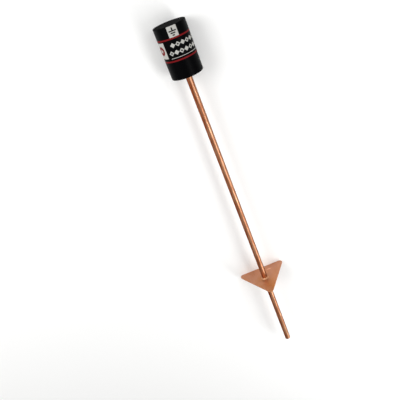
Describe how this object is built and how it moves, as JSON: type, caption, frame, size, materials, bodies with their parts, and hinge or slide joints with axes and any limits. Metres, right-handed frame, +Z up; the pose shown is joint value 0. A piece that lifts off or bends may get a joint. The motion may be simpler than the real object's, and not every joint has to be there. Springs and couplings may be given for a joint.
{
  "type": "earth rod",
  "caption": "Round copper earth rod with a rounded triangular plate brazed across it towards its tip, and a sealed black cylindrical head with a printed label, lying on the ground.",
  "frame": {"origin": "on the ground, under the middle of the object's box", "axes": "+X along the rod from its head to its tip, which points up by 0.9 degrees; +Z up, out of the ground; +Y to the left when looking along +X"},
  "size_m": [1.0426, 0.1368, 0.1209],
  "materials": {
    "rod_copper": "drawn copper, bright and slightly tarnished",
    "plate_copper": "rolled copper sheet, matte, with an even tarnish",
    "braze_metal": "brazing metal, cleaned",
    "head_plastic": "moulded black plastic, satin",
    "label_film": "printed film, gloss"
  },
  "bodies": {
    "root": {"rod": "rod_copper", "plate": "plate_copper", "braze": "braze_metal", "head_can": "head_plastic", "head_label": "label_film"}
  },
  "joints": []
}
